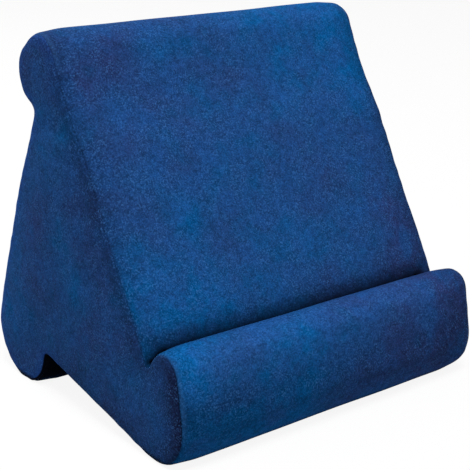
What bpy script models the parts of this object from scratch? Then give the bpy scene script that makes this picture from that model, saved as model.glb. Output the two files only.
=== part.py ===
# Tablet cushion stand: a foam wedge in a sewn velvet cover, with three long lobes and a groove beside each.
# The section lies in Y and Z and runs straight along X. The front faces -Y, and Z = 0 is the floor.
# Run with: blender --background --python part.py
import math

import bmesh
import bpy
from mathutils import Vector

# Driving sizes, in metres
STAND_WIDTH = 0.300
STAND_DEPTH = 0.258
STAND_HEIGHT = 0.290
TOE_RADIUS = 0.035        # round foot under the lip
LIP_RADIUS = 0.016        # round top of the lip
LIP_HEIGHT = 0.086
LIP_LEAN = 0.013          # lip's centre in front of the toe's
SLOT_DEPTH = 0.019        # crease of the slot below the top of the lip
SLOT_REACH = 0.022        # crease of the slot behind the lip's centre
SLOT_FILLET = 0.003
BROW_RADIUS = 0.022       # front of the top lobe
ROLL_RADIUS = 0.026       # back of the top lobe
ROLL_BACK = 0.007         # roll's centre behind the brow's
ROLL_DROP = 0.011         # roll's centre below the brow's
NECK_CUT = 0.0336         # how far the rear face cuts into the top lobe
NECK_FILLET = 0.007
REAR_RADIUS = 0.037       # round foot at the back
NOTCH_CUT = 0.0384        # how far the base cuts into the rear foot
NOTCH_FILLET = 0.003
SETTLE = 0.001            # how far each foot is pressed flat by the floor
FOOT_EDGE = 0.0006        # arc points lower than this give way to the edge of the flat
END_ROUND = 0.006         # roll of each end panel over its seam
CLOTH = 0.0015            # velvet with its backing
GAP = 0.0003              # between pieces that touch

# Driving angle, in degrees
FACE_ANGLE = 62.3         # slanted face above the floor

# Facets
ARC_STEP = 7.5            # largest turn between two points of an arc, in degrees
ROUND_STEPS = 3           # rings over the roll of each end
SMOOTH_ANGLE = math.radians(35.0)

VELVET = (0.012, 0.046, 0.160, 1.0)
FOAM = (0.800, 0.760, 0.640, 1.0)
VELVET_ROUGHNESS = 0.85
FOAM_ROUGHNESS = 0.95

DOWN = -90.0              # heading of the normal under a foot, in degrees


# Plane geometry of the section: points are (y, z), headings are in degrees from +Y towards +Z

def heading(degrees):
    return Vector((math.cos(math.radians(degrees)), math.sin(math.radians(degrees))))


def angle_of(vector):
    return math.degrees(math.atan2(vector.y, vector.x))


def tangent_heading(first, first_radius, second, second_radius, side):
    # Normal of the line that passes the two centres at the given distances, on the side asked for
    across = second - first
    turn = math.degrees(math.acos((first_radius - second_radius) / across.length))
    return angle_of(across) + side * turn


def arc(centre, radius, start, end):
    # Points of a round stretch with their outward normals; a negative radius is a hollow one
    count = max(2, math.ceil(abs(end - start) / ARC_STEP))
    turns = [start + (end - start) * step / count for step in range(count + 1)]
    return [(centre + heading(turn) * radius, heading(turn)) for turn in turns]


def groove_centre(lobe, lobe_radius, wall_point, wall_normal, fillet):
    # Centre of the hollow arc that touches a lobe and a straight wall, both from outside
    foot = wall_point + wall_normal * fillet
    along = Vector((-wall_normal.y, wall_normal.x))
    offset = foot - lobe
    half = offset.dot(along)
    reach = math.sqrt(half * half - offset.length_squared + (lobe_radius + fillet) ** 2)
    return foot - along * (half + reach)


def after(turn, low):
    # The same heading, written between low and one full turn above it
    return low + (turn - low) % 360.0


def rest_on_floor(chain):
    # Cuts a chain at Z = 0, with a level stretch between the two cuts
    cut = []
    for (start, start_normal), (end, end_normal) in zip(chain, chain[1:]):
        if start.y >= FOOT_EDGE:
            cut.append((start, start_normal))
        if (start.y >= 0.0) != (end.y >= 0.0):
            share = start.y / (start.y - end.y)
            normal = start_normal.lerp(end_normal, share).normalized()
            level = heading(DOWN)
            mitre = (normal + level) / (1.0 + normal.dot(level))
            cut.append((start.lerp(end, share), mitre))
    cut.append(chain[-1])
    return cut


def section():
    # The whole outline as three chains, one for each strip of cloth, each from crease to crease
    toe = Vector((TOE_RADIUS - STAND_DEPTH / 2, TOE_RADIUS - SETTLE))
    lip = Vector((toe.x - LIP_LEAN, LIP_HEIGHT - LIP_RADIUS))
    crease = Vector((lip.x + SLOT_REACH, LIP_HEIGHT - SLOT_DEPTH))
    rear = Vector((STAND_DEPTH / 2 - REAR_RADIUS, REAR_RADIUS - SETTLE))

    face = FACE_ANGLE + 90.0
    climb = heading(FACE_ANGLE)
    brow_height = STAND_HEIGHT - BROW_RADIUS
    behind = crease - heading(face) * BROW_RADIUS
    brow = behind + climb * ((brow_height - behind.y) / climb.y)
    roll = brow + Vector((ROLL_BACK, -ROLL_DROP))

    crown = tangent_heading(brow, BROW_RADIUS, roll, ROLL_RADIUS, 1)
    back = tangent_heading(rear, REAR_RADIUS, roll, ROLL_RADIUS - NECK_CUT, -1)
    base = tangent_heading(toe, TOE_RADIUS, rear, REAR_RADIUS - NOTCH_CUT, -1)
    front = tangent_heading(toe, TOE_RADIUS, lip, LIP_RADIUS, 1)
    from_lip = crease - lip
    slot = angle_of(from_lip) + math.degrees(math.acos(LIP_RADIUS / from_lip.length))

    rear_wall = rear + heading(back) * REAR_RADIUS
    base_wall = toe + heading(base) * TOE_RADIUS
    neck = groove_centre(roll, ROLL_RADIUS, rear_wall, heading(back), NECK_FILLET)
    notch = groove_centre(rear, REAR_RADIUS, base_wall, heading(base), NOTCH_FILLET)
    half_slot = math.radians((face - slot) / 2.0)
    slot_centre = crease + heading((face + slot) / 2.0) * (SLOT_FILLET / math.cos(half_slot))

    under_roll = angle_of(neck - roll)
    before_rear = after(angle_of(notch - rear), base - 180.0)
    slot_middle = (slot + face) / 2.0
    neck_middle = (under_roll + back) / 2.0
    notch_middle = (before_rear + base) / 2.0
    slot_seam = math.degrees(GAP / 2.0 / SLOT_FILLET)
    neck_seam = math.degrees(GAP / 2.0 / NECK_FILLET)
    notch_seam = math.degrees(GAP / 2.0 / NOTCH_FILLET)

    front_chain = (arc(slot_centre, -SLOT_FILLET, slot_middle + slot_seam, face)
                   + arc(brow, BROW_RADIUS, face, crown)
                   + arc(roll, ROLL_RADIUS, crown, under_roll)[1:]
                   + arc(neck, -NECK_FILLET, under_roll, neck_middle - neck_seam)[1:])
    rear_chain = (arc(neck, -NECK_FILLET, neck_middle + neck_seam, back)
                  + arc(rear, REAR_RADIUS, back, before_rear)
                  + arc(notch, -NOTCH_FILLET, before_rear, notch_middle - notch_seam)[1:])
    base_chain = (arc(notch, -NOTCH_FILLET, notch_middle + notch_seam, base)
                  + arc(toe, TOE_RADIUS, base, front - 360.0)
                  + arc(lip, LIP_RADIUS, front - 360.0, slot - 360.0)
                  + arc(slot_centre, -SLOT_FILLET, slot, slot_middle - slot_seam)[1:])
    return front_chain, rest_on_floor(rear_chain), rest_on_floor(base_chain)


def inset(chain, depth, x):
    # The chain moved inwards by a depth, as points in space at a place along the width
    return [Vector((x, point.x - normal.x * depth, point.y - normal.y * depth)) for point, normal in chain]


# Solids

def velvet_material(name):
    return surface_material(name, VELVET, VELVET_ROUGHNESS)


def surface_material(name, colour, roughness):
    material = bpy.data.materials.new(name)
    material.use_nodes = True
    shader = material.node_tree.nodes["Principled BSDF"]
    shader.inputs["Base Color"].default_value = colour
    shader.inputs["Roughness"].default_value = roughness
    shader.inputs["Metallic"].default_value = 0.0
    return material


def finish(bm, name, material):
    bmesh.ops.recalc_face_normals(bm, faces=bm.faces)
    mesh = bpy.data.meshes.new(name)
    bm.to_mesh(mesh)
    bm.free()
    mesh.shade_smooth()
    mesh.set_sharp_from_angle(angle=SMOOTH_ANGLE)
    mesh.materials.append(material)
    piece = bpy.data.objects.new(name, mesh)
    bpy.context.scene.collection.objects.link(piece)
    return piece


def strip_panel(name, chain):
    # A strip of cloth that follows one chain from end seam to end seam
    start = -seam_place()
    bm = bmesh.new()
    outer = [bm.verts.new(point) for point in inset(chain, 0.0, start)]
    inner = [bm.verts.new(point) for point in inset(chain, CLOTH, start)]
    for step in range(len(chain) - 1):
        bm.faces.new((outer[step], outer[step + 1], inner[step + 1], inner[step]))
    grown = bmesh.ops.extrude_face_region(bm, geom=bm.faces[:])["geom"]
    moved = [item for item in grown if isinstance(item, bmesh.types.BMVert)]
    bmesh.ops.translate(bm, vec=(2.0 * seam_place(), 0.0, 0.0), verts=moved)
    return finish(bm, name, velvet_material(name))


def skin_rings(loop, depth, start, side):
    # Rings over the rounded end, from the seam to the flat of the end, at a depth below the surface
    rings = []
    for step in range(ROUND_STEPS + 1):
        turn = math.radians(90.0 * step / ROUND_STEPS)
        inwards = depth + (END_ROUND - depth) * (1.0 - math.cos(turn))
        outwards = start + (STAND_WIDTH / 2.0 - depth - start) * math.sin(turn)
        rings.append(inset(loop, inwards, side * outwards))
    return rings


def closed_loft(bm, rings):
    # Joins rings of equal count one after another, and closes the first and the last
    rows = [[bm.verts.new(point) for point in ring] for ring in rings]
    count = len(rows[0])
    for low, high in zip(rows, rows[1:]):
        for step in range(count):
            after_step = (step + 1) % count
            bm.faces.new((low[step], low[after_step], high[after_step], high[step]))
    ends = [bm.faces.new(rows[0]), bm.faces.new(rows[-1])]
    bm.normal_update()
    bmesh.ops.triangulate(bm, faces=ends)


def end_panel(name, loop, side):
    # A shaped end of cloth, rolled over its rim down to the seam
    start = seam_place() + GAP
    bm = bmesh.new()
    inner = skin_rings(loop, CLOTH, start, side)
    outer = skin_rings(loop, 0.0, start, side)
    closed_loft(bm, inner[::-1] + outer)
    return finish(bm, name, velvet_material(name))


def foam_core(name, loop):
    # One block of foam that fills the cover
    depth = CLOTH + GAP
    bm = bmesh.new()
    left = skin_rings(loop, depth, seam_place(), -1)
    right = skin_rings(loop, depth, seam_place(), 1)
    closed_loft(bm, left[::-1] + right)
    return finish(bm, name, surface_material(name, FOAM, FOAM_ROUGHNESS))


def seam_place():
    # Distance of each end seam from the middle of the width
    return STAND_WIDTH / 2.0 - END_ROUND


def clear_scene():
    for item in list(bpy.data.objects):
        bpy.data.objects.remove(item, do_unlink=True)


def main():
    clear_scene()
    front_chain, rear_chain, base_chain = section()
    loop = front_chain + rear_chain + base_chain
    pieces = [
        foam_core("foam_core", loop),
        strip_panel("front_panel", front_chain),
        strip_panel("rear_panel", rear_chain),
        strip_panel("base_panel", base_chain),
        end_panel("end_panel_left", loop, -1),
        end_panel("end_panel_right", loop, 1),
    ]
    stand = bpy.data.objects.new("tablet_cushion_stand", None)
    bpy.context.scene.collection.objects.link(stand)
    for piece in pieces:
        piece.parent = stand


main()
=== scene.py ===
import math

import bmesh
import bpy
from mathutils import Euler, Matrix, Vector, bvhtree, geometry, kdtree, noise


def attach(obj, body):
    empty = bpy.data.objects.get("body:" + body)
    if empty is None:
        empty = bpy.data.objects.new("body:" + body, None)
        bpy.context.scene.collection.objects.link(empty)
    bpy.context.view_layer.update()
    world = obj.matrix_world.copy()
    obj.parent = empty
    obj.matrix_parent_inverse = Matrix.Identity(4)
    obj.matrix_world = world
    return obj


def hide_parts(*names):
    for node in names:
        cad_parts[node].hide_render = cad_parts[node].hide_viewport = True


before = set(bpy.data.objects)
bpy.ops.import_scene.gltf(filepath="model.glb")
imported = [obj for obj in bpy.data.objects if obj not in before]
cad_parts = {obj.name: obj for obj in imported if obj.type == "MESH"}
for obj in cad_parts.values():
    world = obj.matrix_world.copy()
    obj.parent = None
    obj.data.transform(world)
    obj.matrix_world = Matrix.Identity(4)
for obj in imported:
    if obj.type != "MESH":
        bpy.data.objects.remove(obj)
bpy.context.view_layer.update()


# small helpers

def deselectAll():
    if bpy.context.mode != "OBJECT":
        bpy.ops.object.mode_set(mode="OBJECT")
    bpy.ops.object.select_all(action="DESELECT")


def makeActive(piece):
    deselectAll()
    piece.select_set(True)
    bpy.context.view_layer.objects.active = piece


def applyModifiers(piece):
    makeActive(piece)
    for name in [modifier.name for modifier in piece.modifiers]:
        bpy.ops.object.modifier_apply(modifier=name)


def inScene(name, mesh):
    piece = bpy.data.objects.new(name, mesh)
    bpy.context.scene.collection.objects.link(piece)
    return piece


def copyOf(piece, name):
    return inScene(name, piece.data.copy())


def graded(total, first, growth, most):
    # distances from 0 to total whose steps grow away from both ends
    steps, reach = [], 0.0
    step = first
    while reach + step < total / 2:
        steps.append(step)
        reach += step
        step = min(step * growth, most)
    steps.append(total / 2 - reach)
    if len(steps) > 1 and steps[-1] < 0.5 * steps[-2]:
        steps[-2] += steps.pop()
    half = []
    reach = 0.0
    for step in steps:
        reach += step
        half.append(reach)
    return [0.0] + half + [total - reach for reach in reversed(half[:-1])] + [total]


# the cover: five velvet panels sewn over one block of foam

cover = {
    # each panel of the CAD, and the piece that is sewn for it
    "pieces": {
        "front_panel": "coverFront",
        "rear_panel": "coverRear",
        "base_panel": "coverBase",
        "end_panel_left": "coverEndLeft",
        "end_panel_right": "coverEndRight",
    },
    "merge": 0.00002,
    "seamStep": 0.0011,       # first row of the mesh beside a seam
    "stepGrowth": 1.45,
    "step": 0.0044,           # rows of the mesh away from the seams
    "netSize": 0.300,         # the end panels' net covers this much each way before it is trimmed
    "netGap": 0.66,           # share of a step that the net keeps off the rolled rim
    "seamAt": 0.1492,         # the end seams, from the middle of the width
    "rollIn": 0.0076,         # the ends roll over their rim before they turn flat
    "rollOut": 0.0022,
    "lastTurn": 0.8,          # share of the roll after which only its last row follows
    "frames": 20,
    "quality": 6,
    "mass": 0.2,
    "stretch": 12,            # stiffness of the cloth
    "shear": 6,
    "bending": 0.8,
    "drag": 2,
    "pressure": 4.0,
    "slack": 0.010,           # the panels are cut this share larger than the foam
    "leastRise": 0.001,
    "wrapFill": 0.0020,       # stuffing that lifts the long panels between their seams
    "wrapCrown": 0.0020,      # how much further the cloth may swell there
    "fillReach": 0.0200,
    "endCrown": 0.0048,       # how far the ends dome
    "settleReach": 28,        # in millimetres, as the list below
    "settleFade": 0.15,
    # how the sewn outline lies against the foam: place, then how far it moves there, in millimetres
    "settle": [
        (-107, 78, 3.0, -0.1), (-120, 25, 2.0, -1.7), (-92, 0, -3.3, 0), (-20, 14, 0, 1.8), (55, 28, -1.7, 3.4),
        (88, 0, -7.9, -3.8), (125, 35, -1.7, 2.9), (115, 95, 3.7, 0), (88, 160, 6.6, 0), (55, 229, 3.7, 1.3),
        (78, 257, -1.7, 3.1), (55, 290, -0.8, -2.8), (15, 270, 7.8, -4.8), (-25, 170, 1.8, 0), (-85, 67, -3.1, 2.2),
        (74, 281, 4.5, 3.5),
    ],
    "seamDepth": 0.0011,      # how deep a seam pulls in
    "seamWidth": 0.0016,
    "creaseShare": 0.6,       # a crease between two long panels pulls in less
    "nearReach": 0.009,       # how fast the seamNear values fade
    "puckerRise": 0.00060,    # small gathers beside the seams
    "puckerPitch": 0.0090,
    "puckerStart": 0.0015,
    "puckerReach": 0.0060,
    "dentRise": 0.00050,      # soft unevenness of the stuffed faces
    "dentPitch": 0.0550,
    "dentReach": 0.012,
    "dentShift": (3.1, 7.7, 1.3),
    "thickness": 0.0012,
    "floorGap": 0.0001,
    "occlusionReach": 0.055,       # how far off other cloth still keeps the light away
    "floorReach": 0.010,      # and how far off the floor does
    "occlusionRays": 26,
    "occlusionStart": 0.0008,      # the rays start this far off the cloth
    # where the finish paints a shadow in the notch, and how much occlusion that adds
    "notchHeight": 0.045,
    "notch": (-0.060, 0.108),     # from its front to its back
    "notchRim": (0.040, 0.086),   # the part of the ends' rims that turns into it
    "notchRimNear": 0.72,
    "notchShadow": 0.6,
}
panelNodes = list(cover["pieces"])
endNumbers = {3, 4}           # the two end panels in that list


def rimOutline():
    # the outline of the stand, walked round the sewn edge of the left end panel
    guide = copyOf(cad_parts["end_panel_left"], "rimGuide")
    makeActive(guide)
    bpy.ops.object.mode_set(mode="EDIT")
    bpy.ops.mesh.select_all(action="SELECT")
    bpy.ops.mesh.remove_doubles(threshold=cover["merge"])
    bpy.ops.object.mode_set(mode="OBJECT")
    bm = bmesh.new()
    bm.from_mesh(guide.data)
    place = max(v.co.x for v in bm.verts)
    flat = {f for f in bm.faces if all(abs(v.co.x - place) < cover["merge"] for v in f.verts)}
    links = {}
    for edge in bm.edges:
        if len([f for f in edge.link_faces if f in flat]) == 1:
            for a, b in (edge.verts, reversed(edge.verts)):
                links.setdefault(a, []).append(b)
    loops = []
    while links:
        start = min(links, key=lambda v: (v.co.z, v.co.y))
        loop, last, here = [], None, start
        while here in links:
            ahead = [v for v in links.pop(here) if v is not last]
            loop.append(Vector((here.co.y, here.co.z)))
            last, here = here, ahead[0]
        loops.append(loop)
    outer = max(loops, key=lambda loop: max(p.x for p in loop) - min(p.x for p in loop))
    bm.free()
    bpy.data.objects.remove(guide)
    return outer


def sewnChains():
    # the outline as three chains, one for each long panel, from crease to crease
    outline = rimOutline()
    owners = []
    for node in panelNodes[:3]:
        owners += [((0, v.co.y, v.co.z), node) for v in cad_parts[node].data.vertices]
    tree = kdtree.KDTree(len(owners))
    for index, (spot, _) in enumerate(owners):
        tree.insert(spot, index)
    tree.balance()
    labels = [owners[tree.find((0, p.x, p.y))[1]][1] for p in outline]
    count = len(outline)
    breaks = [k for k in range(count) if labels[k] != labels[k - 1]]
    chains = []
    for a, b in zip(breaks, breaks[1:] + [breaks[0] + count]):
        ends = [(outline[k % count] + outline[k % count - 1]) / 2 for k in (a, b)]
        chains.append((labels[a], [ends[0]] + [outline[k % count] for k in range(a, b)] + [ends[1]]))
    return chains


def alongChain(points):
    # the chain's points spaced anew, closer together beside its two creases
    lengths = [(b - a).length for a, b in zip(points, points[1:])]
    total = sum(lengths)
    out, step, travelled = [], 0, 0.0
    for target in graded(total, cover["seamStep"], cover["stepGrowth"], cover["step"])[:-1]:
        while travelled + lengths[step] < target:
            travelled += lengths[step]
            step += 1
        out.append(points[step].lerp(points[step + 1], (target - travelled) / lengths[step]))
    return out


def settled(loop):
    # each point moves by the nearest entries of the settle list, which fade into each other
    out = []
    for p in loop:
        shares = [math.exp(-((p.x * 1000 - y) ** 2 + (p.y * 1000 - z) ** 2) / (2 * cover["settleReach"] ** 2))
                  for y, z, _, _ in cover["settle"]]
        total = sum(shares) + cover["settleFade"]
        across = sum(share * spot[2] for share, spot in zip(shares, cover["settle"])) / total
        up = sum(share * spot[3] for share, spot in zip(shares, cover["settle"])) / total
        out.append(p + Vector((across, up)) / 1000)
    return out


def insetRing(loop, depth):
    # the outline moved inwards by depth
    ring = []
    for k, p in enumerate(loop):
        along = (loop[(k + 1) % len(loop)] - loop[k - 1]).normalized()
        ring.append(p + Vector((along.y, -along.x)) * depth)
    return ring


def rollTurns():
    # the angles of the rows over the rolled rim of an end
    length = math.pi / 2 * math.sqrt((cover["rollIn"] ** 2 + cover["rollOut"] ** 2) / 2)
    turns, reach, step = [], 0.0, cover["seamStep"]
    while reach + step < cover["lastTurn"] * length:
        reach += step
        turns.append(math.pi / 2 * reach / length)
        step *= cover["stepGrowth"]
    return turns + [math.pi / 2]


def endNet(border):
    # evenly spread points inside the border of the flat of an end, joined into triangles with it
    tree = kdtree.KDTree(len(border))
    for k, p in enumerate(border):
        tree.insert((p.x, p.y, 0), k)
    tree.balance()
    net = list(border)
    row, z = 0, 0.0
    while z < cover["netSize"]:
        y = -cover["netSize"] / 2 + (row % 2) * cover["step"] / 2
        while y < cover["netSize"] / 2:
            if tree.find((y, z, 0))[2] > cover["netGap"] * cover["step"]:
                net.append(Vector((y, z)))
            y += cover["step"]
        row += 1
        z += cover["step"] * math.sqrt(3) / 2
    points, _, triangles, origins = geometry.delaunay_2d_cdt(net, [], [list(range(len(border)))], 1, 1e-7)[:4]
    return points, triangles, origins


def coverSkin():
    # one closed skin: a grid round the outline, a rolled rim at each end and a net of triangles on the flat of it
    place = cover["seamAt"]
    loop, owners, creases = [], [], []
    for node, points in sewnChains():
        creases.append(len(loop))
        part = alongChain(points)
        loop += part
        owners += [panelNodes.index(node)] * len(part)
    loop = settled(loop)
    area = sum(a.x * b.y - b.x * a.y for a, b in zip(loop, loop[1:] + loop[:1])) / 2
    inwards = -1 if area > 0 else 1
    stations = graded(2 * place, cover["seamStep"], cover["stepGrowth"], cover["step"])
    count, across = len(loop), len(stations)
    verts = [(x - place, p.x, p.y) for p in loop for x in stations]
    faces, panels = [], []
    for k in range(count):
        after = (k + 1) % count
        for j in range(across - 1):
            faces.append((k * across + j, k * across + j + 1, after * across + j + 1, after * across + j))
            panels.append(owners[k])
    points, triangles, origins = endNet(insetRing(loop, inwards * cover["rollIn"]))
    used = sorted({n for triangle in triangles for n in triangle})
    for side, panel, column in ((-1, 3, 0), (1, 4, across - 1)):
        last = [k * across + column for k in range(count)]
        for turn in rollTurns():
            ring = insetRing(loop, inwards * cover["rollIn"] * (1 - math.cos(turn)))
            here = [len(verts) + k for k in range(count)]
            verts += [(side * (place + cover["rollOut"] * math.sin(turn)), p.x, p.y) for p in ring]
            for k in range(count):
                after = (k + 1) % count
                faces.append((last[k], last[after], here[after], here[k]))
                panels.append(panel)
            last = here
        index = {}
        for n in used:
            onBorder = [origin for origin in origins[n] if origin < count]
            if onBorder:
                index[n] = last[onBorder[0]]
            else:
                index[n] = len(verts)
                verts.append((side * (place + cover["rollOut"]), points[n].x, points[n].y))
        for triangle in triangles:
            faces.append([index[n] for n in triangle])
            panels.append(panel)
    mesh = bpy.data.meshes.new("coverSkin")
    mesh.from_pydata(verts, [], faces)
    mesh.attributes.new("panel", "INT", "FACE").data.foreach_set("value", panels)
    skin = inScene("coverSkin", mesh)
    sewn = {k * across + j for k in creases for j in range(across)}
    sewn |= {k * across + j for k in range(count) for j in (0, across - 1)}
    skin.vertex_groups.new(name="sewn").add(sorted(sewn), 1.0, "REPLACE")
    bm = bmesh.new()
    bm.from_mesh(mesh)
    bmesh.ops.recalc_face_normals(bm, faces=bm.faces)
    if bm.calc_volume(signed=True) < 0:
        bmesh.ops.reverse_faces(bm, faces=bm.faces)
    bm.to_mesh(mesh)
    bm.free()
    print("cover skin:", len(mesh.vertices), "points,", len(mesh.polygons), "faces")
    return skin


def swell(skin):
    # the cloth fills out between the seams, and the foam under it keeps it from sinking in
    before = [v.co.copy() for v in skin.data.vertices]
    normals = [v.normal.copy() for v in skin.data.vertices]
    cloth = skin.modifiers.new("Cloth", "CLOTH")
    cloth.settings.quality = cover["quality"]
    cloth.settings.mass = cover["mass"]
    cloth.settings.tension_stiffness = cover["stretch"]
    cloth.settings.compression_stiffness = cover["stretch"]
    cloth.settings.shear_stiffness = cover["shear"]
    cloth.settings.bending_stiffness = cover["bending"]
    cloth.settings.air_damping = cover["drag"]
    cloth.settings.use_pressure = True
    cloth.settings.uniform_pressure_force = cover["pressure"]
    cloth.settings.shrink_min = -cover["slack"]
    cloth.settings.vertex_group_mass = "sewn"
    cloth.settings.effector_weights.gravity = 0
    cloth.collision_settings.use_collision = False
    cloth.point_cache.frame_start = 1
    cloth.point_cache.frame_end = cover["frames"]
    for number in range(1, cover["frames"] + 1):
        bpy.context.scene.frame_set(number)
    applyModifiers(skin)
    bpy.context.scene.frame_set(1)
    rises = [max((v.co - old).dot(normal), 0.0) for v, old, normal in zip(skin.data.vertices, before, normals)]
    onEnd = [abs(old.x) > cover["seamAt"] + cover["merge"] for old in before]
    highest = max(rises + [cover["leastRise"]])
    highestEnd = max([rise for rise, end in zip(rises, onEnd) if end] + [cover["leastRise"]])
    held = {v for key, owners in seamGuide(skin).items() if not owners & endNumbers for v in key}
    creaseSpots = {(round(before[v].y, 4), round(before[v].z, 4)) for v in held}
    for v, old, normal, rise, end in zip(skin.data.vertices, before, normals, rises, onEnd):
        fromSeam = cover["seamAt"] - abs(old.x)
        fromCrease = min(math.dist((old.y, old.z), spot) for spot in creaseSpots)
        if end:
            v.co = old + normal * (cover["endCrown"] * rise / highestEnd)
        else:
            fill = cover["wrapFill"] * min(1.0, fromSeam / cover["fillReach"], fromCrease / cover["fillReach"])
            v.co = old + normal * (fill + cover["wrapCrown"] * math.tanh(rise / cover["wrapCrown"]))
    print("cloth: swelled by up to", round(highest * 1000, 1), "mm before the cap")


def seamGuide(skin):
    # the edges where two panels meet, with the panels on either side
    mesh = skin.data
    panel = mesh.attributes["panel"].data
    sides = {}
    for face in mesh.polygons:
        for key in face.edge_keys:
            sides.setdefault(key, set()).add(panel[face.index].value)
    return {key: owners for key, owners in sides.items() if len(owners) > 1}


def shelter(skin):
    # how much of what each point faces is closed off by the cover itself or by the floor, which the velvet finish
    # paints into its colour as shade
    points = [v.co.copy() for v in skin.data.vertices]
    cloth = bvhtree.BVHTree.FromPolygons(points, [tuple(face.vertices) for face in skin.data.polygons])
    rays = []
    for k in range(cover["occlusionRays"]):
        rise = 1 - (k + 0.5) / cover["occlusionRays"]
        turn = k * math.pi * (3 - math.sqrt(5))
        rays.append(Vector((math.cos(turn) * math.sqrt(1 - rise ** 2), math.sin(turn) * math.sqrt(1 - rise ** 2), rise)))
    occlusion = skin.data.attributes.new("occlusion", "FLOAT", "POINT")
    for v in skin.data.vertices:
        aim = v.normal.to_track_quat("Z", "Y")
        start = v.co + v.normal * cover["occlusionStart"]
        closed = 0.0
        for ray in rays:
            way = aim @ ray
            distance = cloth.ray_cast(start, way, cover["occlusionReach"])[3]
            if distance is not None:
                closed += ray.z * (1 - distance / cover["occlusionReach"])
            elif way.z < 0 and start.z < -way.z * cover["floorReach"]:
                closed += ray.z * (1 + start.z / way.z / cover["floorReach"])
        occlusion.data[v.index].value = 2 * closed / cover["occlusionRays"]
    print("shelter found for", len(points), "points")


def refine(skin):
    # one subdivision that keeps the seams as sharp lines, then seams, gathers and small unevenness
    seams = seamGuide(skin)
    sharp = skin.data.attributes.new("crease_edge", "FLOAT", "EDGE")
    for edge in skin.data.edges:
        if tuple(sorted(edge.vertices)) in seams:
            sharp.data[edge.index].value = 1.0
    finer = skin.modifiers.new("Subdivision", "SUBSURF")
    finer.levels = finer.render_levels = 1
    applyModifiers(skin)
    mesh = skin.data
    seams = seamGuide(skin)
    onEnds = {v for key, owners in seams.items() if owners & endNumbers for v in key}
    onCreases = {v for key, owners in seams.items() if not owners & endNumbers for v in key}
    trees = []
    for group in (onEnds, onCreases):
        tree = kdtree.KDTree(len(group))
        for index in group:
            tree.insert(mesh.vertices[index].co, index)
        tree.balance()
        trees.append(tree)
    normals = [v.normal.copy() for v in mesh.vertices]
    near = mesh.attributes.new("seamNear", "FLOAT", "POINT")
    for v, normal in zip(mesh.vertices, normals):
        spot = v.co.copy()
        _, endIndex, fromEnd = trees[0].find(spot)
        _, creaseIndex, fromCrease = trees[1].find(spot)
        gather = noise.noise(spot / cover["puckerPitch"]) * math.exp(-fromEnd / cover["puckerReach"])
        gather *= min(1.0, fromEnd / cover["puckerStart"])
        dent = noise.noise(spot / cover["dentPitch"] + Vector(cover["dentShift"]))
        dent *= 1 - math.exp(-min(fromEnd, fromCrease) / cover["dentReach"])
        pull = normals[endIndex] * math.exp(-(fromEnd / cover["seamWidth"]) ** 2)
        pull += normals[creaseIndex] * (cover["creaseShare"] * math.exp(-(fromCrease / cover["seamWidth"]) ** 2))
        v.co = spot + normal * (gather * cover["puckerRise"] + dent * cover["dentRise"]) - pull * cover["seamDepth"]
        v.co.z = max(v.co.z, cover["floorGap"])
        near.data[v.index].value = math.exp(-fromEnd / cover["nearReach"])
    print("cover refined:", len(mesh.vertices), "points")


def sewnPanels(skin):
    # the skin comes apart at its seams into five pieces, and each gets its thickness inwards
    for number, node in enumerate(panelNodes):
        piece = copyOf(skin, cover["pieces"][node])
        bm = bmesh.new()
        bm.from_mesh(piece.data)
        layer = bm.faces.layers.int["panel"]
        bmesh.ops.delete(bm, geom=[f for f in bm.faces if f[layer] != number], context="FACES")
        bm.to_mesh(piece.data)
        bm.free()
        wall = piece.modifiers.new("Solidify", "SOLIDIFY")
        wall.thickness = cover["thickness"]
        wall.offset = -1
        wall.use_even_offset = False
        applyModifiers(piece)
        # seamNear is below zero on the long panels, so that the finish can tell the two sides of a seam
        near = piece.data.attributes["seamNear"].data
        near.foreach_set("value", [entry.value if number in endNumbers else -entry.value for entry in near])
        # painted shadow: the inside of the notch, and the rims of the ends that turn into it, get more occlusion, so
        # that the finish paints them dark as if no light reached them
        for v, entry, beside in zip(piece.data.vertices, piece.data.attributes["occlusion"].data, near):
            inside = cover["notch"][0] < v.co.y < cover["notch"][1] and beside.value <= 0
            onRim = cover["notchRim"][0] < v.co.y < cover["notchRim"][1] and beside.value > cover["notchRimNear"]
            if v.co.z < cover["notchHeight"] and (inside or onRim):
                entry.value += cover["notchShadow"]
        piece.data.shade_smooth()
        piece.data.materials.clear()
        piece.data.materials.append(velvet["material"])
        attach(piece, "root")
        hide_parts(node)
        print(piece.name, len(piece.data.polygons), "faces")


def foamBlock(skin):
    # the block of foam under the cover, a little smaller all round
    block = copyOf(skin, "foamBlock")
    block.vertex_groups.clear()
    normals = [v.normal.copy() for v in block.data.vertices]
    for v, normal in zip(block.data.vertices, normals):
        v.co = v.co - normal * foam["depth"]
        v.co.z = max(v.co.z, cover["thickness"] + foam["floorGap"])
    block.data.shade_smooth()
    block.data.materials.clear()
    block.data.materials.append(foam["material"])
    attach(block, "root")
    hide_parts("foam_core")
    print("foam block done")


# shader maths

class Wire:
    # an output of a node, which can stand in a plain sum
    def __init__(self, finish, socket):
        self.finish = finish
        self.socket = socket

    def maths(self, operation, first, second=0.0):
        return self.finish.add("Math", {"operation": operation}, {0: first, 1: second})

    def __add__(self, other):
        return self.maths("ADD", self, other)

    def __radd__(self, other):
        return self.maths("ADD", other, self)

    def __sub__(self, other):
        return self.maths("SUBTRACT", self, other)

    def __rsub__(self, other):
        return self.maths("SUBTRACT", other, self)

    def __mul__(self, other):
        return self.maths("MULTIPLY", self, other)

    def __rmul__(self, other):
        return self.maths("MULTIPLY", other, self)

    def __pow__(self, other):
        return self.maths("POWER", self, other)

    def __rpow__(self, other):
        return self.maths("POWER", other, self)

    def __neg__(self):
        return self.maths("MULTIPLY", self, -1.0)

    def __abs__(self):
        return self.maths("ABSOLUTE", self)

    def orMore(self, other):
        return self.maths("MAXIMUM", self, other)


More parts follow.
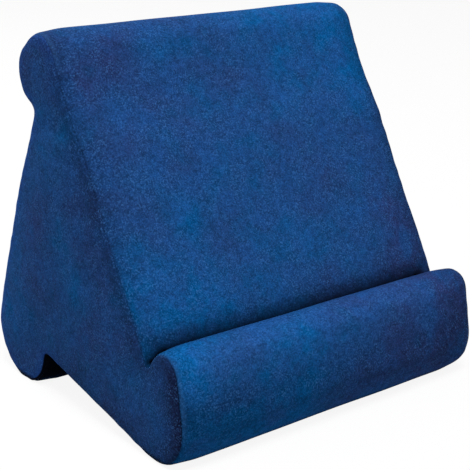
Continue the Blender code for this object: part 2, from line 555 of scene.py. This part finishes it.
class Finish:
    # the nodes of a material or of the world
    def __init__(self, owner):
        owner.use_nodes = True
        self.owner = owner
        self.tree = owner.node_tree
        self.tree.nodes.clear()

    def add(self, kind, settings=None, values=None, output=0):
        # settings come before values, because some of them change the sockets; a list of outputs gives a list of wires
        node = self.tree.nodes.new("ShaderNode" + kind)
        for name, value in (settings or {}).items():
            setattr(node, name, value)
        for name, value in (values or {}).items():
            if isinstance(value, Wire):
                self.tree.links.new(value.socket, node.inputs[name])
            else:
                node.inputs[name].default_value = value
        if isinstance(output, list):
            return [Wire(self, node.outputs[name]) for name in output]
        return Wire(self, node.outputs[output])

    def grain(self, where, scale, detail, roughness, shift=None):
        # noise between 0 and 1, at a scale in repeats per metre
        if shift:
            where = self.add("Mapping", None, {"Vector": where, "Location": shift})
        return self.add("TexNoise", None, {"Vector": where, "Scale": scale, "Detail": detail, "Roughness": roughness})

    def spread(self, value, low, high, atLow=0.0, atHigh=1.0):
        return self.add("MapRange", {"clamp": True}, {"Value": value, "From Min": low, "From Max": high,
                                                      "To Min": atLow, "To Max": atHigh})

    def blend(self, share, first, second, kind="MIX"):
        # a colour mix, whose sockets go by number because their names repeat
        return self.add("Mix", {"data_type": "RGBA", "blend_type": kind}, {0: share, 6: first, 7: second}, 2)

    def end(self, shader, kind="Material"):
        self.add("Output" + kind, None, {"Surface": shader}, [])
        return self.owner


velvet = {
    "teal": (0.0008, 0.0700, 0.2250, 1),
    "blue": (0.0060, 0.0500, 0.1780, 1),
    "violet": (0.0190, 0.0345, 0.1280, 1),
    "fibre": (0.0360, 0.1220, 0.3200, 1),
    # the next two are painted: shade where the ends roll into the lip, and a sheen highlight on their rear edges
    "lipEndShade": (0.0105, 0.0170, 0.0640, 1),
    "edge": (0.0120, 0.0560, 0.2500, 1),
    "sheenWeight": 0.34,
    "sheenRoughness": 0.20,
    "sheenTint": (0.07, 0.33, 1.0, 1),
    "specular": 0.03,
    # noises: repeats per metre, detail, roughness and shift
    "broadNoise": (14, 3.0, 0.55),
    "patchNoise": (45, 3.0, 0.60, (0.4, 0.1, 0.7)),
    "brushNoise": (60, 2.0, 0.60, (0.9, 0.3, 0.5)),
    "mottleNoise": (210, 3.0, 0.65, (0.2, 0.8, 0.3)),
    "pileNoise": (780, 2.0, 0.60, (0.6, 0.5, 0.1)),
    "fibreNoise": (2600, 1.0, 0.50),
    # ranges: from, to, then what the two become, which is 0 and 1 where it is left out
    "endFace": (0.1470, 0.1500),                # across
    "rear": (0.020, 0.045),                     # along
    "lipBack": (-0.108, -0.097, 1.0, 0.0),      # along
    "lipTop": (0.075, 0.095, 1.0, 0.0),         # height
    "lipCrown": (0.100, 0.110, 1.0, 0.0),       # height
    "crossing": 11.0,         # how strongly the hue turns from corner to corner of the long panels
    "crossingHeight": 0.19,
    "endTurn": (0.220, 0.270, 0.04, 0.16),      # how far the ends turn to violet, by height
    "broadShare": 0.6,
    "hue": (0.34, 0.66),
    "bluePatches": (0.42, 0.64, 0.0, 0.7),
    # darker and lighter: grain, patches and hue, then painted shade by the seams, the shelter and the floor
    "pileShare": 0.6,
    "grainShade": (0.38, 0.70, 0.62, 1.62),
    "patchShade": (0.32, 0.68, 0.82, 1.18),
    "hueShade": (1.08, 0.90),                   # teal, violet
    "endBand": (0.03, 0.55, 0.0, 0.26),         # by how near the seam is, here and below
    "longBand": (0.02, 0.40, 0.0, 0.17),
    "seamShade": 0.28,
    "lipSeam": (0.008, 0.030, 0.0, 0.5),        # height
    "occlusionShade": (0.05, 0.50, 1.0, 0.02),
    "floorShade": (0.0016, 0.0060, 0.04, 1.0),  # height
    # painted light and shade on the front of the lip
    "lipLightingUpper": 0.18,
    "lipLightingLower": (0.048, 0.068, 1.0, 0.0),       # height
    "lipLightingTurn": 1.2,
    "lipLightingDark": 0.44,
    "lipLightingFoot": (0.014, 0.040, 0.55, 0.0),       # height
    "lipLightingRight": (0.095, 0.130, 0.0, 0.24),      # across
    # painted shade at the lip ends, painted sheen on the rear edges, hairs, and a painted highlight on the seam ridges
    "lipEndShadeNear": (0.02, 0.50, 0.0, 0.85),
    "lipEndShadeHeight": (0.0, 0.022),
    "rimSheenNear": (0.22, 0.70, 0.0, 0.75),
    "hairs": (0.53, 0.72),
    "hairPatches": (0.36, 0.62, 0.10, 0.75),
    "hairsOccluded": (0.10, 0.40, 1.0, 0.0),
    "seamHighlightNear": (0.58, 0.84, 0.0, 0.22),
    "seamHighlightLip": (0.020, 0.045),                 # height
    "seamHighlightTop": (0.262, 0.280),                 # height
    # relief
    "mottleRise": 0.35,
    "pileRise": 0.45,
    "fibreRise": 0.20,
    "bumpStrength": 0.6,
    "bumpDistance": 0.0010,
    "roughness": (0.3, 0.7, 0.79, 0.95),
}


def velvetFinish():
    # short pile that lies in patches, some towards the light and some away from it, with painted shade and painted
    # highlights in its colour
    finish = Finish(bpy.data.materials.new("blueVelvet"))
    where = finish.add("TexCoord", output="Object")
    across, along, height = finish.add("SeparateXYZ", None, {"Vector": where}, ["X", "Y", "Z"])
    near = finish.add("Attribute", {"attribute_name": "seamNear"}, output="Fac")
    occlusion = finish.add("Attribute", {"attribute_name": "occlusion"}, output="Fac")
    broad = finish.grain(where, *velvet["broadNoise"])
    patch = finish.grain(where, *velvet["patchNoise"])
    brush = finish.grain(where, *velvet["brushNoise"])
    mottle = finish.grain(where, *velvet["mottleNoise"])
    pile = finish.grain(where, *velvet["pileNoise"])
    fibre = finish.grain(where, *velvet["fibreNoise"])

    # places
    fromSeam = abs(near)
    onEnd = finish.spread(abs(across), *velvet["endFace"])
    atRear = finish.spread(along, *velvet["rear"])
    inFront = finish.spread(along, *velvet["lipBack"])
    onLip = inFront * finish.spread(height, *velvet["lipTop"])
    lipFace = inFront * finish.spread(height, *velvet["lipCrown"]) * (1 - onEnd)

    # the hue turns from corner to corner of the long panels and at the top of the ends
    corner = across * (height - velvet["crossingHeight"]) * velvet["crossing"] * (1 - onEnd)
    turned = onEnd * finish.spread(height, *velvet["endTurn"])
    mixed = broad * velvet["broadShare"] + patch * (1 - velvet["broadShare"])
    hue = finish.spread(mixed - corner + turned, *velvet["hue"])
    colour = finish.blend(hue, velvet["teal"], velvet["violet"])
    colour = finish.blend(finish.spread(patch, *velvet["bluePatches"]), colour, velvet["blue"])

    # darker grain, patches and violet, then painted shade: on both sides of an end seam, more so on the end side, in
    # the seam groove on the lip, where the cover shelters itself and next to the floor
    shade = finish.spread(mottle * (1 - velvet["pileShare"]) + pile * velvet["pileShare"], *velvet["grainShade"])
    shade = shade * finish.spread(patch, *velvet["patchShade"]) * finish.spread(hue, 0, 1, *velvet["hueShade"])
    shade = shade * (1 - finish.spread(near, *velvet["endBand"]) * (1 - atRear))
    shade = shade * (1 - finish.spread(-near, *velvet["longBand"]) * (1 - onLip))
    shade = shade * (1 - fromSeam ** 2 * velvet["seamShade"])
    shade = shade * (1 - fromSeam ** 8 * onLip * finish.spread(height, *velvet["lipSeam"]))
    shade = shade * finish.spread(occlusion, *velvet["occlusionShade"]) * finish.spread(height, *velvet["floorShade"])

    # painted light and shade on the front of the lip: lighter above, darker below the middle and more so to the left,
    # lighter again at the bottom, and darker at the right end
    lower = finish.spread(height, *velvet["lipLightingLower"]) * (across * velvet["lipLightingTurn"] - velvet["lipLightingDark"])
    lipLighting = velvet["lipLightingUpper"] + lower + finish.spread(height, *velvet["lipLightingFoot"])
    shade = shade * (1 + lipFace * (lipLighting - finish.spread(across, *velvet["lipLightingRight"])))

    # painted shade on the end panels where they roll into the lip, and a painted sheen highlight along their rear
    # edges
    lipEndShade = finish.spread(near, *velvet["lipEndShadeNear"]) * onLip * finish.spread(height, *velvet["lipEndShadeHeight"])
    colour = finish.blend(lipEndShade, colour, velvet["lipEndShade"])
    colour = finish.blend(finish.spread(near, *velvet["rimSheenNear"]) * atRear, colour, velvet["edge"])
    tone = finish.add("CombineColor", None, {"Red": shade, "Green": shade, "Blue": shade})
    colour = finish.blend(1.0, colour, tone, "MULTIPLY")

    # raised hairs, left out where the occlusion is high, and a painted highlight in the fibre colour on the ridge just
    # beside the seam, on the lip and at the top corners
    inOpen = finish.spread(occlusion, *velvet["hairsOccluded"])
    hairs = finish.spread(pile, *velvet["hairs"]) * finish.spread(brush, *velvet["hairPatches"])
    colour = finish.blend(hairs * inOpen, colour, velvet["fibre"])
    seamHighlight = finish.spread(-near, *velvet["seamHighlightNear"]) * (1 - fromSeam ** 12) * inOpen
    seamHighlight = seamHighlight * (onLip * finish.spread(height, *velvet["seamHighlightLip"]) + finish.spread(height, *velvet["seamHighlightTop"]))
    colour = finish.blend(seamHighlight, colour, velvet["fibre"])

    relief = mottle * velvet["mottleRise"] + pile * velvet["pileRise"] + fibre * velvet["fibreRise"]
    bump = finish.add("Bump", None, {"Height": relief, "Strength": velvet["bumpStrength"],
                                     "Distance": velvet["bumpDistance"]})
    shader = finish.add("BsdfPrincipled", None, {
        "Base Color": colour,
        "Roughness": finish.spread(pile, *velvet["roughness"]),
        "Normal": bump,
        "Specular IOR Level": velvet["specular"],
        "Sheen Weight": velvet["sheenWeight"],
        "Sheen Roughness": velvet["sheenRoughness"],
        "Sheen Tint": velvet["sheenTint"],
    })
    velvet["material"] = finish.end(shader)
    print("velvet done:", len(finish.tree.nodes), "nodes")


foam = {
    "depth": 0.0032,          # below the outside of the cover
    "floorGap": 0.0006,       # above the cloth under it
    "cream": (0.72, 0.66, 0.50, 1),
    "shade": (0.55, 0.48, 0.34, 1),
    "cells": 900.0,           # per metre
    "pores": (0.05, 0.55),
    "cloudNoise": (60, 3.0, 0.6),
    "poreShare": 0.7,
    "bumpStrength": 0.5,
    "bumpDistance": 0.0006,
    "roughness": 0.95,
}


def foamFinish():
    # open-cell foam, with small dark pores
    finish = Finish(bpy.data.materials.new("creamFoam"))
    where = finish.add("TexCoord", output="Object")
    pores = finish.spread(finish.add("TexVoronoi", None, {"Vector": where, "Scale": foam["cells"]}), *foam["pores"])
    cloudy = finish.grain(where, *foam["cloudNoise"])
    light = pores * foam["poreShare"] + cloudy * (1 - foam["poreShare"])
    bump = finish.add("Bump", None, {"Height": pores, "Strength": foam["bumpStrength"], "Distance": foam["bumpDistance"]})
    shader = finish.add("BsdfPrincipled", None, {
        "Base Color": finish.blend(light, foam["shade"], foam["cream"]),
        "Roughness": foam["roughness"],
        "Normal": bump,
    })
    foam["material"] = finish.end(shader)
    print("foam finish done")


# studio

studio = {
    "lens": 96.63,
    "sensor": 36,
    "nearest": 0.05,
    "place": (-0.6202, -0.7616, 0.4377),
    "down": 18.08,            # the camera's turns, in degrees
    "turned": 39.14,
    "rolled": 0.75,
    "white": (1, 1, 1, 1),
    "worldLight": 0.36,
    "floorSize": 14,
    "floorColour": (0.34, 0.34, 0.34, 1),
    "floorGlow": 0.76,        # share of the floor that the camera sees as glow
    "floorStrength": 1.18,
    "lampsAim": (0, 0, 0.13),
    "lamps": [
        # name, place, size, watts
        ("keyLamp", (-0.5, -0.9, 2.6), 1.1, 72.0),
        ("fillLamp", (-2.0, -0.5, 1.2), 1.6, 6.5),
        ("backLamp", (-0.5, 1.9, 1.3), 1.4, 24.0),
    ],
}


def studioFloor():
    deselectAll()
    bpy.ops.mesh.primitive_plane_add(size=studio["floorSize"], location=(0, 0, 0))
    floor = bpy.context.active_object
    floor.name = "studioFloor"
    finish = Finish(bpy.data.materials.new("paleFloor"))
    matt = finish.add("BsdfDiffuse", None, {"Color": studio["floorColour"]})
    glow = finish.add("Emission", None, {"Color": studio["white"], "Strength": studio["floorStrength"]})
    seen = finish.add("LightPath", output="Is Camera Ray") * studio["floorGlow"]
    floor.data.materials.append(finish.end(finish.add("MixShader", None, {0: seen, 1: matt, 2: glow})))


def studioWorld():
    # white to the camera and in reflections, and a softer light on everything else
    world = bpy.data.worlds.new("softRoom")
    bpy.context.scene.world = world
    room = Finish(world)
    light = room.add("Background", None, {"Color": studio["white"], "Strength": studio["worldLight"]})
    white = room.add("Background", None, {"Color": studio["white"]})
    direct, glossy, through = room.add("LightPath", None, None, ["Is Camera Ray", "Is Glossy Ray", "Is Transmission Ray"])
    seen = direct.orMore(glossy).orMore(through)
    room.end(room.add("MixShader", None, {0: seen, 1: light, 2: white}), "World")


def studioLamps():
    for name, place, size, watts in studio["lamps"]:
        lamp = bpy.data.lights.new(name, "AREA")
        lamp.shape = "DISK"
        lamp.size = size
        lamp.energy = watts
        holder = inScene(name, lamp)
        holder.location = place
        holder.rotation_euler = (Vector(studio["lampsAim"]) - Vector(place)).to_track_quat("-Z", "Y").to_euler()


def studioCamera():
    camera = inScene("photoCamera", bpy.data.cameras.new("photoCamera"))
    camera.data.lens = studio["lens"]
    camera.data.sensor_width = studio["sensor"]
    camera.data.clip_start = studio["nearest"]
    camera.location = studio["place"]
    aim = Euler((math.radians(90 - studio["down"]), 0, math.radians(-studio["turned"]))).to_matrix()
    camera.rotation_euler = (aim @ Euler((0, 0, math.radians(studio["rolled"]))).to_matrix()).to_euler()
    bpy.context.scene.camera = camera


velvetFinish()
foamFinish()
skin = coverSkin()
swell(skin)
foamBlock(skin)
shelter(skin)
refine(skin)
sewnPanels(skin)
bpy.data.objects.remove(skin)
print("cover and foam done")
studioFloor()
studioWorld()
studioLamps()
studioCamera()
bpy.context.scene.view_settings.view_transform = "Standard"
print("studio done")
